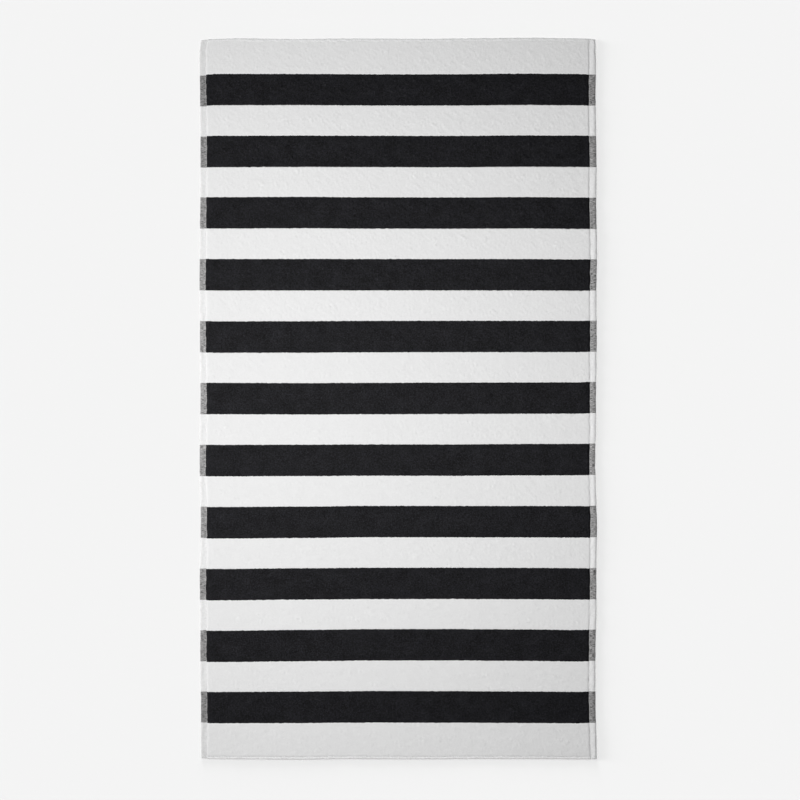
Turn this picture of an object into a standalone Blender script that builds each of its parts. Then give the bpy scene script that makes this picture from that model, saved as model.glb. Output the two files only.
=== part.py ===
"""A striped cotton beach towel lying flat, face up, as one closed solid.

Metres, +Z up. The width runs along X and the length along Y. The underside is flat at Z = 0 and
the origin lies under the middle of the towel. The long sides end in flat-woven hems, lower than
the pile, with a stitch groove at their inner edge. The short ends are narrow sewn rolls. The
outline and the face follow the cloth's own slight unevenness.
"""

import math
from collections import namedtuple

import bmesh
import bpy

# The towel, in metres
WIDTH = 0.990
LENGTH = 1.804
PILE_HEIGHT = 0.0030
FOOT_INSET = 0.0006  # the underside starts this far in from the rounded edge
CORNER_BULK = 0.0005  # where two hems cross, their layers make the cloth thicker

# The stripes run across the width. A white band at each end is wider than the inner ones.
BLACK_STRIPES = 11
BLACK_BAND = 0.0771
WHITE_BAND = 0.0772
ROWS_IN_A_BAND = 2

# The pile between the hems, in grid columns
FIELD_COLUMNS = 32

# Across a hem, from the edge in to the pile: how far in a line lies, and how high the face is there
Section = namedtuple("Section", "line inset height")
SIDE_HEM = (
    Section("edge", 0.0000, 0.0011),
    Section("fold", 0.0007, 0.0019),
    Section("hem outer", 0.0030, 0.0021),
    Section("hem inner", 0.0125, 0.0020),
    Section("stitches", 0.0144, 0.0014),
    Section("pile foot", 0.0158, 0.0018),
    Section("pile shoulder", 0.0176, 0.0028),
    Section("pile", 0.0260, 0.0030),
)
END_HEM = (
    Section("edge", 0.0000, 0.0013),
    Section("fold", 0.0008, 0.0024),
    Section("roll", 0.0028, 0.0028),
    Section("roll inner", 0.0052, 0.0024),
    Section("stitches", 0.0066, 0.0017),
    Section("pile shoulder", 0.0090, 0.0028),
    Section("pile", 0.0160, 0.0030),
)

# How far each long side strays from straight, in millimetres towards +X, at places along the length
SideDrift = namedtuple("SideDrift", "y left right")
SIDE_DRIFTS = (
    SideDrift(-0.902, 2.2, 0.6),
    SideDrift(-0.865, 1.5, -0.3),
    SideDrift(-0.774, 1.5, -1.5),
    SideDrift(-0.624, 0.5, -1.9),
    SideDrift(-0.466, -1.0, 0.1),
    SideDrift(-0.298, 1.6, 1.2),
    SideDrift(-0.148, -0.9, -2.6),
    SideDrift(0.002, 1.2, -0.7),
    SideDrift(0.152, -0.2, 1.0),
    SideDrift(0.309, -1.5, 1.0),
    SideDrift(0.459, -0.2, 0.5),
    SideDrift(0.621, 0.5, 0.0),
    SideDrift(0.784, -0.9, -1.5),
    SideDrift(0.850, -0.3, -1.5),
    SideDrift(0.902, 2.2, -2.2),
)

# How far each short end strays from straight, in millimetres towards +Y, at places across the width
EndDrift = namedtuple("EndDrift", "x bottom top")
END_DRIFTS = (
    EndDrift(-0.495, 2.6, -3.5),
    EndDrift(-0.466, 0.4, -1.4),
    EndDrift(-0.406, 0.0, 0.6),
    EndDrift(-0.256, -0.6, -1.5),
    EndDrift(-0.136, 0.6, 0.1),
    EndDrift(0.044, 0.0, -0.6),
    EndDrift(0.194, 0.5, 0.6),
    EndDrift(0.344, 0.4, 2.2),
    EndDrift(0.404, 0.0, 0.8),
    EndDrift(0.464, -0.5, 0.0),
    EndDrift(0.495, 0.4, -1.7),
)

# Long low swells that stay in the cloth: height, wavelengths along X and Y, and phase
Swell = namedtuple("Swell", "height wave_x wave_y phase")
SWELLS = (
    Swell(0.00016, 0.74, 1.30, 0.4),
    Swell(0.00012, 0.41, 0.58, 2.1),
    Swell(0.00009, -0.27, 0.33, 4.4),
)

# Soft wrinkles left from folding: middle, direction of the crest from +X, length, width and height
Wrinkle = namedtuple("Wrinkle", "x y degrees length width height")
WRINKLES = (
    Wrinkle(0.180, -0.540, 92, 0.170, 0.060, 0.00040),
    Wrinkle(0.245, -0.550, 84, 0.150, 0.055, -0.00030),
    Wrinkle(-0.225, 0.530, 55, 0.130, 0.055, 0.00035),
    Wrinkle(0.410, -0.260, 70, 0.110, 0.055, -0.00035),
    Wrinkle(0.315, 0.150, 100, 0.130, 0.060, -0.00030),
    Wrinkle(0.215, -0.015, 10, 0.110, 0.060, 0.00030),
    Wrinkle(-0.455, 0.230, 20, 0.100, 0.055, 0.00025),
)

# Colours of the cotton, linear
WHITE_COTTON = (0.86, 0.86, 0.85, 1.0)
BLACK_COTTON = (0.013, 0.013, 0.014, 1.0)
GREY_MARL = (0.25, 0.25, 0.25, 1.0)
COTTON_ROUGHNESS = 0.95

WHITE, BLACK, MARL = range(3)
SOFT_EDGE_ANGLE = math.radians(50)
MILLIMETRE = 0.001


def ease(share):
    """A share from 0 to 1, smoothed so that it starts and ends level."""
    return share * share * (3.0 - 2.0 * share)


def read_table(rows, key, column, place, smooth=True):
    """The value of a table's column at a place, between the two rows whose keys enclose it."""
    if place <= getattr(rows[0], key):
        return getattr(rows[0], column)
    for low, high in zip(rows, rows[1:]):
        start, end = getattr(low, key), getattr(high, key)
        if place <= end:
            share = (place - start) / (end - start)
            if smooth:
                share = ease(share)
            return getattr(low, column) + share * (getattr(high, column) - getattr(low, column))
    return getattr(rows[-1], column)


def inset_of(hem, line):
    """How far in from the edge a named line of a hem lies."""
    return next(section.inset for section in hem if section.line == line)


def stripe_edges():
    """The places along Y where the colour changes, from the bottom up."""
    striped = BLACK_STRIPES * BLACK_BAND + (BLACK_STRIPES - 1) * WHITE_BAND
    places = []
    y = -striped / 2
    for _ in range(BLACK_STRIPES):
        places += [y, y + BLACK_BAND]
        y += BLACK_BAND + WHITE_BAND
    return places


def column_places():
    """Where the grid's columns lie along X: the lines of both side hems and even columns between them."""
    half = WIDTH / 2
    hem = [section.inset - half for section in SIDE_HEM]
    step = -2 * hem[-1] / FIELD_COLUMNS
    field = [hem[-1] + step * n for n in range(1, FIELD_COLUMNS)]
    return hem + field + [-x for x in reversed(hem)]


def row_places():
    """Where the grid's rows lie along Y: the lines of both end hems, and rows in each band of colour."""
    half = LENGTH / 2
    hem = [section.inset - half for section in END_HEM]
    edges = [hem[-1]] + stripe_edges() + [-hem[-1]]
    field = []
    for low, high in zip(edges, edges[1:]):
        field += [low + (high - low) * n / ROWS_IN_A_BAND for n in range(ROWS_IN_A_BAND)]
    return hem[:-1] + field + [-y for y in reversed(hem)]


def unevenness(x, y):
    """How far the pile stands above its even height, from the swells and the wrinkles."""
    rise = 0.0
    for swell in SWELLS:
        turn = 2 * math.pi * (x / swell.wave_x + y / swell.wave_y) + swell.phase
        rise += swell.height * math.cos(turn)
    for wrinkle in WRINKLES:
        angle = math.radians(wrinkle.degrees)
        along = (x - wrinkle.x) * math.cos(angle) + (y - wrinkle.y) * math.sin(angle)
        across = (y - wrinkle.y) * math.cos(angle) - (x - wrinkle.x) * math.sin(angle)
        spread = (2 * along / wrinkle.length) ** 2 + (2 * across / wrinkle.width) ** 2
        rise += wrinkle.height * math.exp(-spread)
    return rise


def face_height(x, y):
    """The height of the face at a place of the flat, straight towel."""
    side_inset = WIDTH / 2 - abs(x)
    end_inset = LENGTH / 2 - abs(y)
    side = read_table(SIDE_HEM, "inset", "height", side_inset, smooth=False)
    end = read_table(END_HEM, "inset", "height", end_inset, smooth=False)
    height = min(side, end)
    in_side_hem = max(0.0, 1.0 - side_inset / SIDE_HEM[-1].inset)
    in_end_hem = max(0.0, 1.0 - end_inset / END_HEM[-1].inset)
    past_fold = min(
        1.0,
        side_inset / inset_of(SIDE_HEM, "hem outer"),
        end_inset / inset_of(END_HEM, "roll"),
    )
    bulk = CORNER_BULK * ease(in_side_hem) * ease(in_end_hem) * past_fold
    return height + bulk + unevenness(x, y) * height / PILE_HEIGHT


def drifted(x, y):
    """Where a place of the straight towel really lies, as the sides and ends stray a few millimetres."""
    across = x / WIDTH + 0.5
    along = y / LENGTH + 0.5
    left = read_table(SIDE_DRIFTS, "y", "left", y)
    right = read_table(SIDE_DRIFTS, "y", "right", y)
    bottom = read_table(END_DRIFTS, "x", "bottom", x)
    top = read_table(END_DRIFTS, "x", "top", x)
    return (
        x + MILLIMETRE * (left + across * (right - left)),
        y + MILLIMETRE * (bottom + along * (top - bottom)),
    )


def cotton(name, colour):
    """A matt cotton material."""
    material = bpy.data.materials.new(name)
    material.use_nodes = True
    shader = material.node_tree.nodes["Principled BSDF"]
    shader.inputs["Base Color"].default_value = colour
    shader.inputs["Roughness"].default_value = COTTON_ROUGHNESS
    shader.inputs["Metallic"].default_value = 0.0
    material.diffuse_color = colour
    return material


def make_collection(name):
    """A collection for the towel, linked to the scene."""
    collection = bpy.data.collections.new(name)
    bpy.context.scene.collection.children.link(collection)
    return collection


def lay_out(bm, columns, rows):
    """Moves the even grid's points to the lines of the straight towel and raises them to its face."""
    for vertex in bm.verts:
        column = round((vertex.co.x + 0.5) * (len(columns) - 1))
        row = round((vertex.co.y + 0.5) * (len(rows) - 1))
        x, y = columns[column], rows[row]
        vertex.co = (x, y, face_height(x, y))


def colour_bands(bm):
    """Gives each face of the straight towel the material of its band, marl where a hem crosses a stripe."""
    edges = stripe_edges()
    stitch_line = WIDTH / 2 - inset_of(SIDE_HEM, "stitches")
    for face in bm.faces:
        middle = face.calc_center_median()
        in_black = sum(middle.y > edge for edge in edges) % 2 == 1
        in_hem = abs(middle.x) > stitch_line
        if in_black:
            face.material_index = MARL if in_hem else BLACK
        else:
            face.material_index = WHITE


def close_underside(bm):
    """Folds the rim down and in to the floor, and fills the flat underside with one face."""
    rim = [edge for edge in bm.edges if edge.is_boundary]
    foot = bmesh.ops.extrude_edge_only(bm, edges=rim)["geom"]
    reach_x = WIDTH / 2 - FOOT_INSET
    reach_y = LENGTH / 2 - FOOT_INSET
    for vertex in (part for part in foot if isinstance(part, bmesh.types.BMVert)):
        vertex.co.x = max(-reach_x, min(reach_x, vertex.co.x))
        vertex.co.y = max(-reach_y, min(reach_y, vertex.co.y))
        vertex.co.z = 0.0
    foot_edges = [part for part in foot if isinstance(part, bmesh.types.BMEdge) and part.is_boundary]
    bmesh.ops.edgeloop_fill(bm, edges=foot_edges)
    bmesh.ops.recalc_face_normals(bm, faces=bm.faces[:])


def let_drift(bm):
    """Moves every point from the straight towel to where it lies."""
    for vertex in bm.verts:
        vertex.co.x, vertex.co.y = drifted(vertex.co.x, vertex.co.y)


def centre(bm):
    """Moves the towel so that the middle of its box is over the origin."""
    for axis in (0, 1):
        places = [vertex.co[axis] for vertex in bm.verts]
        middle = (min(places) + max(places)) / 2
        for vertex in bm.verts:
            vertex.co[axis] -= middle


def make_towel(collection):
    """The towel: a grid laid out on its lines, raised to its face, and closed below."""
    columns, rows = column_places(), row_places()
    bpy.ops.mesh.primitive_grid_add(
        x_subdivisions=len(columns) - 1,
        y_subdivisions=len(rows) - 1,
        size=1.0,
    )
    towel = bpy.context.object
    towel.name = "towel"
    towel.data.name = "towel"
    for material in (
        cotton("white cotton pile", WHITE_COTTON),
        cotton("black cotton pile", BLACK_COTTON),
        cotton("grey marl hem", GREY_MARL),
    ):
        towel.data.materials.append(material)
    bm = bmesh.new()
    bm.from_mesh(towel.data)
    lay_out(bm, columns, rows)
    colour_bands(bm)
    close_underside(bm)
    let_drift(bm)
    centre(bm)
    bm.to_mesh(towel.data)
    bm.free()
    towel.data.shade_smooth()
    towel.data.set_sharp_from_angle(angle=SOFT_EDGE_ANGLE)
    for owner in list(towel.users_collection):
        owner.objects.unlink(towel)
    collection.objects.link(towel)
    return towel


def main():
    for old in list(bpy.data.objects):
        bpy.data.objects.remove(old, do_unlink=True)
    make_towel(make_collection("beach towel"))


main()
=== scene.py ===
"""A striped cotton beach towel laid flat on a pale floor, face up, seen from straight above.

Metres, +Z up, in the frame of the CAD part. The cloth is one closed sheet that follows the part's
outline, hems and wrinkles. Its pile stands on it as loop-high relief, in one sheet for each group
of bands, and its four hems are sewn with one row of lockstitch each.
"""

import math
from collections import namedtuple

import bpy
import numpy as np
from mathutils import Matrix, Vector


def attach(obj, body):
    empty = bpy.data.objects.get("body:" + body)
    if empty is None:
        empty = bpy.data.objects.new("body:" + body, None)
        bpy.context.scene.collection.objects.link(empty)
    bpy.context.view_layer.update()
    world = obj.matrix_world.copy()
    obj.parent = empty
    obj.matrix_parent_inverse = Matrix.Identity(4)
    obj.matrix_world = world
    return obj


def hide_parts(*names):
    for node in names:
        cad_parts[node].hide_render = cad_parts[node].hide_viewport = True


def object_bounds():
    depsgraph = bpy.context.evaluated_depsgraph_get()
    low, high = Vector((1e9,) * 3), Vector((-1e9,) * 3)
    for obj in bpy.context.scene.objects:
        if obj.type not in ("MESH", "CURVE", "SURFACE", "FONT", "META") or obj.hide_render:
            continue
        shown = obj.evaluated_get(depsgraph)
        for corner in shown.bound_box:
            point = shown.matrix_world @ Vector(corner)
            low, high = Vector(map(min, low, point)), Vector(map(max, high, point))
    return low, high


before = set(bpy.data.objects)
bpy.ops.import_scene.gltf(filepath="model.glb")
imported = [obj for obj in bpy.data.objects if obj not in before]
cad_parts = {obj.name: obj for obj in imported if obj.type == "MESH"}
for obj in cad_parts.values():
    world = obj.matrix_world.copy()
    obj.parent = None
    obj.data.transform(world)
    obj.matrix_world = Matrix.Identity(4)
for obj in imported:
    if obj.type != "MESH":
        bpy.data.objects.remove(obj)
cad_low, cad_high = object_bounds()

SEED = 20
MILLIMETRE = 0.001


def table(columns, *rows):
    """Rows whose values are named by their columns."""
    row_type = namedtuple("Row", columns)
    return tuple(row_type(*row) for row in rows)


# A distance in from a side and one in from an end
Reach = namedtuple("Reach", "side end")

# The towel, laid straight; the part's is 2 mm longer
WIDTH = 0.990
LENGTH = 1.802
CORNER_ROUNDING = 0.0040
RIGHT_HEM_SPREAD = 1.055  # the right hem is this much wider than the left one
CORNER_BULK = 0.0005  # where two hems cross, their layers make the cloth thicker

# The stripes run across the width, with a black one over the middle
BLACK_STRIPES = 11
BLACK_BAND = 0.0771
WHITE_BAND = 0.0772
PITCH = BLACK_BAND + WHITE_BAND
STRIPED = BLACK_STRIPES * PITCH - WHITE_BAND
BLACK_LEAN = 0.0006  # black loops lean this far over the white ones

# Across a side hem, from the edge in to the ground weave under the pile: how far in, and how high
SIDE_HEM = table(
    "inset left right",
    (0.0000, 0.00125, 0.00090), (0.0001, 0.00170, 0.00110), (0.0003, 0.00206, 0.00130),
    (0.0006, 0.00232, 0.00152), (0.0012, 0.00256, 0.00190), (0.0022, 0.00266, 0.00240),
    (0.0036, 0.00262, 0.00284), (0.0052, 0.00244, 0.00306), (0.0075, 0.00212, 0.00288),
    (0.0100, 0.00176, 0.00246), (0.0125, 0.00146, 0.00198), (0.0136, 0.00136, 0.00168),
    (0.0144, 0.00130, 0.00140), (0.0151, 0.00136, 0.00140), (0.0160, 0.00150, 0.00150),
    (0.0175, 0.00165, 0.00165), (0.0220, 0.00180, 0.00180),
)

# Across an end hem; the last rows keep the grid fine near the ends
END_HEM = table(
    "inset bottom top",
    (0.0000, 0.00125, 0.00150), (0.0005, 0.00178, 0.00222), (0.0012, 0.00206, 0.00258),
    (0.0022, 0.00232, 0.00286), (0.0033, 0.00252, 0.00302), (0.0043, 0.00232, 0.00294),
    (0.0053, 0.00182, 0.00280), (0.0060, 0.00166, 0.00276), (0.0066, 0.00162, 0.00274),
    (0.0072, 0.00160, 0.00268), (0.0080, 0.00160, 0.00240),
    *((inset, 0.00180, 0.00180) for inset in (0.0110, 0.0140, 0.0170, 0.0200, 0.0235)),
)
SIDE_STITCH_INSET = 0.0144
BOTTOM_STITCH_INSET = 0.0060
TOP_STITCH_INSET = 0.0063
GROOVE_REACH = 0.0016  # from the middle of the groove under an end hem's stitches
BOTTOM_PINCH, TOP_PINCH = 0.00044, 0.00012  # how unevenly the stitches pinch an end hem
END_HEM_LIFT = 0.0020  # between the side hems, an end hem may stand this high over the weave,
END_HEM_REACH = 0.0085  # this far in from the end,
LIFT_RAMPS = Reach(0.004, 0.001)  # and falls to it over these distances
SIDE_HEM_REACH, COVER_RAMP = 0.0120, 0.002  # a side hem covers the end hems this far in,
FOLD_REACH = 0.0032  # with a fold of this width at the end
CORNER_REACH = Reach(0.020, 0.012)  # of the bulk
EVEN_EDGE = 0.003  # the outermost part of a hem, which is even
HEM_WAVES = 0.00026  # height of the waves in the hems
RIM_WAVES = 0.00026  # how far the hems' outer parts stray,
RIM_REACH = Reach(0.010, 0.006)  # this far in

# Round the rim, from the edge down to the floor
RIM = table(
    "inset height",
    (0.00010, 0.00080), (0.00035, 0.00040), (0.00075, 0.00010), (0.00125, 0.00000),
)

# Across the underside, from the rim in: the hems are flat, with a shallow groove for the stitches
UNDER_SIDE_HEM = table(
    "inset height",
    (0.0060, 0.0), (0.0130, 0.0), (0.0144, 0.00045), (0.0158, 0.00010), (0.0240, 0.0),
)
UNDER_END_HEM = table(
    "inset height",
    (0.0040, 0.0), (0.0056, 0.0), (0.0066, 0.00045), (0.0076, 0.00010), (0.0150, 0.0),
)

# Between its hems the underside is a little uneven
UNDER_FIELD = Reach(0.020, 0.012)
UNDER_LIFT = 0.00010

# Grid steps between the hems
FACE_COLUMNS = 200
FACE_ROWS = 320
UNDER_COLUMNS = 30
UNDER_ROWS = 56

# How far each long side strays from straight, in millimetres towards +X, at places along the length
LEFT_DRIFTS = table(
    "y stray",
    (-0.902, 3.4), (-0.892, 3.1), (-0.865, 2.7), (-0.775, 2.9), (-0.725, 2.8), (-0.680, 1.3),
    (-0.600, 1.4), (-0.530, 1.2), (-0.480, -0.2), (-0.430, 0.2), (-0.375, 2.4), (-0.300, 2.3),
    (-0.250, 2.1), (-0.200, -0.2), (-0.150, -0.2), (0.002, 1.6), (0.152, 0.5), (0.200, 0.4),
    (0.250, -0.6), (0.300, -1.0), (0.350, -0.4), (0.400, 0.5), (0.450, 0.8), (0.500, 1.4),
    (0.600, 1.4), (0.670, 1.6), (0.725, 1.0), (0.784, 0.4), (0.850, -0.8), (0.874, -0.4),
    (0.902, 3.2),
)
RIGHT_DRIFTS = table(
    "y stray",
    (-0.902, 2.4), (-0.892, 1.6), (-0.870, 1.3), (-0.840, 1.0), (-0.800, -0.3), (-0.750, -1.3),
    (-0.690, -1.8), (-0.640, -1.5), (-0.595, -0.7), (-0.545, 1.0), (-0.510, 1.4), (-0.465, 0.9),
    (-0.420, 0.5), (-0.385, 1.2), (-0.330, 2.5), (-0.300, 2.2), (-0.265, 1.0), (-0.215, -0.6),
    (-0.165, -2.4), (-0.140, -2.2), (-0.085, -0.4), (-0.030, -0.1), (0.030, 0.1), (0.060, 1.2),
    (0.100, 0.9), (0.150, 1.7), (0.180, 1.5), (0.245, 0.7), (0.290, 1.4), (0.345, 2.5),
    (0.385, 2.3), (0.425, 1.4), (0.485, 0.5), (0.520, 0.7), (0.570, 1.7), (0.600, 1.5),
    (0.640, 0.6), (0.690, -0.3), (0.745, -1.2), (0.780, -1.1), (0.840, -0.1), (0.870, -1.0),
    (0.902, -1.2),
)

# How far the side hems' inner lines stray from their sides, in millimetres towards +X
LEFT_SEAM_STRAYS = table(
    "y stray",
    (-0.617, 0.1), (-0.463, 0.6), (-0.309, -0.5), (0.000, -0.4), (0.154, -1.4), (0.309, -0.1),
    (0.771, 0.1),
)
RIGHT_SEAM_STRAYS = table(
    "y stray",
    (-0.890, 1.0), (-0.850, 0.5), (-0.771, 0.0), (-0.694, 0.4), (-0.540, -0.4), (-0.463, 0.7),
    (-0.309, 0.6), (-0.231, 1.5), (-0.154, 2.3), (-0.077, 2.3), (0.000, 0.8), (0.077, 0.0),
    (0.231, 0.5), (0.309, 0.1), (0.386, 0.7), (0.463, -0.2), (0.540, -1.4), (0.617, -0.7),
    (0.771, -0.6), (0.849, 0.1),
)

# The hems' inner lines: how far in they lie, how far round them the cloth moves, and their waves
SIDE_LINE, SIDE_LINE_REACH, SIDE_LINE_WAVES = 0.0150, 0.0050, 0.0004
END_LINE, END_LINE_REACH, END_LINE_WAVES = 0.0068, 0.0024, 0.0003

# How far each short end strays from straight, in millimetres towards +Y, at places across the width
END_DRIFTS = table(
    "x bottom top",
    (-0.495, 3.8, -3.1), (-0.466, 1.6, -1.0), (-0.406, 1.2, 1.0), (-0.256, 0.6, -1.1),
    (-0.136, 1.8, 0.5), (0.044, 1.2, -0.2), (0.194, 1.7, 1.0), (0.344, 1.6, 2.6),
    (0.404, 1.2, 1.2), (0.464, 0.7, 0.4), (0.495, 1.6, -1.3),
)

# How far the stripes stray from straight, in millimetres towards +Y, at places across the width
STRIPES_UP = 1.6  # all of them, besides
STRIPE_DRIFT_COLUMNS = (-0.478, -0.450, -0.246, -0.060, 0.129, 0.316, 0.450, 0.478)
STRIPE_DRIFTS = table(
    "y left_end far_left left mid_left mid_right right far_right right_end",
    (-0.771, -0.40, -0.50, 0.25, 1.50, 1.00, 0.25, -0.50, 0.00),
    (-0.617, -2.05, -2.25, 0.00, 2.00, 2.25, 1.25, -0.25, 0.00),
    (-0.463, -2.00, -2.15, -0.25, 1.00, 1.25, 0.75, -0.10, -0.50),
    (-0.309, -1.70, -1.70, -0.50, 1.50, 1.25, 1.00, 0.50, 0.20),
    (-0.154, -0.35, -0.65, 0.00, 0.75, 0.50, 1.75, 2.00, 2.50),
    (0.000, 0.40, 0.35, -0.50, 0.00, 0.75, 1.25, 1.50, 2.75),
    (0.154, 0.00, -0.75, -0.25, 0.75, 1.00, 1.00, 1.00, 1.50),
    (0.309, 1.50, 0.85, 1.00, 1.00, 1.00, 0.75, 0.00, 0.00),
    (0.464, 1.50, 1.45, 2.25, 1.00, 0.75, 1.50, 0.50, 0.20),
    (0.617, 0.00, 0.05, 0.75, 0.50, 0.00, 1.25, 1.00, 0.60),
    (0.771, -0.10, 1.20, 1.25, 0.00, 0.00, 1.50, 0.75, -0.35),
)

# How far the hems' stripes lie from the pile's, in millimetres towards +Y
HEM_SLIPS = table(
    "y left right",
    (-0.771, 1.15, 0.75), (-0.617, 1.55, 0.75), (-0.463, 1.00, 1.00), (-0.309, 1.20, 1.30),
    (-0.154, 0.10, 0.50), (0.000, -0.40, 0.25), (0.154, 0.25, 0.00), (0.309, -0.25, 0.50),
    (0.464, -0.25, -0.20), (0.617, -1.25, -0.10), (0.771, -2.40, 0.10),
)
SLIP_INSET, SLIP_RAMP = 0.0175, 0.002  # the slip ends here, and grows outwards over this distance

# Long low swells that stay in the cloth: height, wavelengths along X and Y, and phase
SWELLS = table(
    "height wave_x wave_y phase",
    (0.00016, 0.74, 1.30, 0.4),
    (0.00012, 0.41, 0.58, 2.1),
    (0.00009, -0.27, 0.33, 4.4),
)

# Soft wrinkles left from folding: middle, direction of the crest from +X, length, width and height
WRINKLES = table(
    "x y degrees length width height",
    (0.180, -0.540, 92, 0.170, 0.060, 0.00040),
    (0.245, -0.550, 84, 0.150, 0.055, -0.00030),
    (-0.225, 0.530, 55, 0.130, 0.055, 0.00035),
    (0.410, -0.260, 70, 0.110, 0.055, -0.00035),
    (0.315, 0.150, 100, 0.130, 0.060, -0.00030),
    (0.215, -0.015, 10, 0.110, 0.060, 0.00030),
    (-0.455, 0.230, 20, 0.100, 0.055, 0.00025),
)

# Dents and puckers in the hems, near the corners
HEM_DENTS = table(
    "x y degrees length width height",
    (-0.4860, 0.8860, 90, 0.0060, 0.0050, -0.00060),
    (-0.4855, 0.8955, 90, 0.0045, 0.0050, -0.00045),
    (-0.4880, 0.8700, 80, 0.0120, 0.0060, -0.00025),
    (0.4790, 0.8857, 95, 0.0070, 0.0035, -0.00040),
    (0.4790, 0.8557, 85, 0.0070, 0.0035, -0.00040),
    (-0.4915, -0.8890, -35, 0.0120, 0.0035, -0.00045),
    (-0.4830, -0.8920, 90, 0.0050, 0.0040, -0.00050),
    (-0.4850, -0.8350, 10, 0.0090, 0.0060, -0.00025),
    (0.4900, -0.8960, 60, 0.0090, 0.0060, -0.00040),
    (0.4915, -0.8780, 90, 0.1000, 0.0080, 0.00060),
    (0.4905, 0.8720, 90, 0.0900, 0.0080, 0.00050),
)

# The pile: a lattice of points, of which every third is the top of a loop
PILE_LEFT_INSET = 0.0150
PILE_RIGHT_INSET = 0.0155
PILE_BOTTOM_INSET = 0.0057
PILE_TOP_INSET = 0.0068
LOOP_ACROSS = 0.00240  # between the lattice's points in a row
LOOP_ALONG = 0.00205  # between its rows
PILE_LEVEL = 0.00295
LOOP_VALLEY = 0.00015
LOOP_PEAK = 0.00015
PILE_FOOT = 0.00100  # the pile starts from this level at its border,
PILE_SHOULDER = 0.0040  # rises to its own over this distance,
PILE_STEEPNESS = 2.6  # and does so this much more steeply at first;
PILE_TOP_FOOT = 0.00270  # at the top end, whose groove is shallow, it starts higher
PILE_WALL = 0.0011  # how closely its first points stand to that border
WHITE_DIP = 0.00045  # a white band dips under the black ones at its border,
BLACK_DIP = 0.00010  # and a black band hardly at all
LOOP_STRAY = 0.34  # how far a point strays, as a share of its distances
LOOP_SPREAD = 0.4, 1.6  # the lowest and highest loops, as shares of the usual
BORDER_JAGS, BORDER_FRAY = 0.00018, 0.0006  # of the bands, over many loops and from loop to loop
CLUMPS, CLOUDS = 0.00008, 0.00012  # heights of the relief over a few loops and over many
CLOUD_SPREAD = 0.35  # how much more unevenly the loops stand in some places,
SEAM_SPREAD, TOP_SEAM_SPREAD = 0.9, 0.3  # and beside the seams
LIT_TOP_TONE, GLINT_SPREAD = 0.55, 0.25  # painted light on the loops' tops, and how far some are painted brighter still, as glints
GAP_SHADE_TONES = 0.15, 0.55  # the least and the greatest tone of the painted shade between the loops


def ease(share):
    """A share from 0 to 1, smoothed so that it starts and ends level."""
    return share * share * (3.0 - 2.0 * share)


def ramp(value, over):
    """A share that rises from 0 to 1 as the value rises over this stretch."""
    return np.clip(value / over, 0.0, 1.0)


def near(distance, reach):
    """A share that falls softly from 1 at a place to 0 past its reach."""
    return np.exp(-((distance / reach) ** 2))


def lerp(low, high, share):
    return low + (high - low) * share


def span(keys, places):
    """For each place, which pair of keys encloses it and how far along it lies between them."""
    keys = np.asarray(keys, float)
    low = np.clip(np.searchsorted(keys, places) - 1, 0, len(keys) - 2)
    return low, ramp(places - keys[low], keys[low + 1] - keys[low])


def read_table(rows, key, column, places, smooth=True):
    """A table's column at these places, between the rows whose keys enclose each."""
    low, share = span([getattr(row, key) for row in rows], places)
    values = np.array([getattr(row, column) for row in rows])
    return lerp(values[low], values[low + 1], ease(share) if smooth else share)


def on_sides(x, rows, key, places, smooth=True):
    """A table's left or right column at these places, by the side on which x lies."""
    left, right = (read_table(rows, key, side, places, smooth) for side in ("left", "right"))
    return np.where(x < 0, left, right)


def stripe_drift(x, y):
    """How far the stripes stray at these places, in millimetres towards +Y."""
    values = np.array([row[1:] for row in STRIPE_DRIFTS])
    column, across = span(STRIPE_DRIFT_COLUMNS, x)
    row, along = span([drift.y for drift in STRIPE_DRIFTS], y)
    across, along = ease(across), ease(along)
    lower = lerp(values[row, column], values[row, column + 1], across)
    upper = lerp(values[row + 1, column], values[row + 1, column + 1], across)
    return lerp(lower, upper, along)


class Ripples:
    """An even random relief about 1 high, made of waves of lengths between two limits."""

    def __init__(self, seed, shortest, longest, count=28, stretch=1.0):
        rng = np.random.default_rng(seed)
        lengths = shortest * (longest / shortest) ** rng.random(count)
        angles = rng.random(count) * 2 * math.pi
        self.along_x = 2 * math.pi * np.cos(angles) / lengths
        self.along_y = 2 * math.pi * np.sin(angles) / (lengths * stretch)
        self.phases = rng.random(count) * 2 * math.pi

    def __call__(self, x, y):
        rise = np.zeros(np.broadcast(x, y).shape)
        for wave_x, wave_y, phase in zip(self.along_x, self.along_y, self.phases):
            rise += np.cos(wave_x * x + wave_y * y + phase)
        return rise / math.sqrt(len(self.phases) / 2)


pile_clouds = Ripples(SEED, 0.018, 0.070)
pile_clumps = Ripples(SEED + 1, 0.0065, 0.0125, stretch=1.5)
hem_waves = Ripples(SEED + 2, 0.010, 0.045)
rim_waves = Ripples(SEED + 3, 0.010, 0.060, count=16)
stripe_jags = Ripples(SEED + 4, 0.006, 0.030, count=16)
seam_waves = Ripples(SEED + 5, 0.020, 0.120, count=16)
pinches = Ripples(SEED + 6, 0.010, 0.040)


def insets(x, y):
    """How far in these places lie from the nearest side, as on the left, and the nearest end."""
    from_side = WIDTH / 2 - np.abs(x)
    return np.where(x > 0, from_side / RIGHT_HEM_SPREAD, from_side), LENGTH / 2 - np.abs(y)


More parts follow.
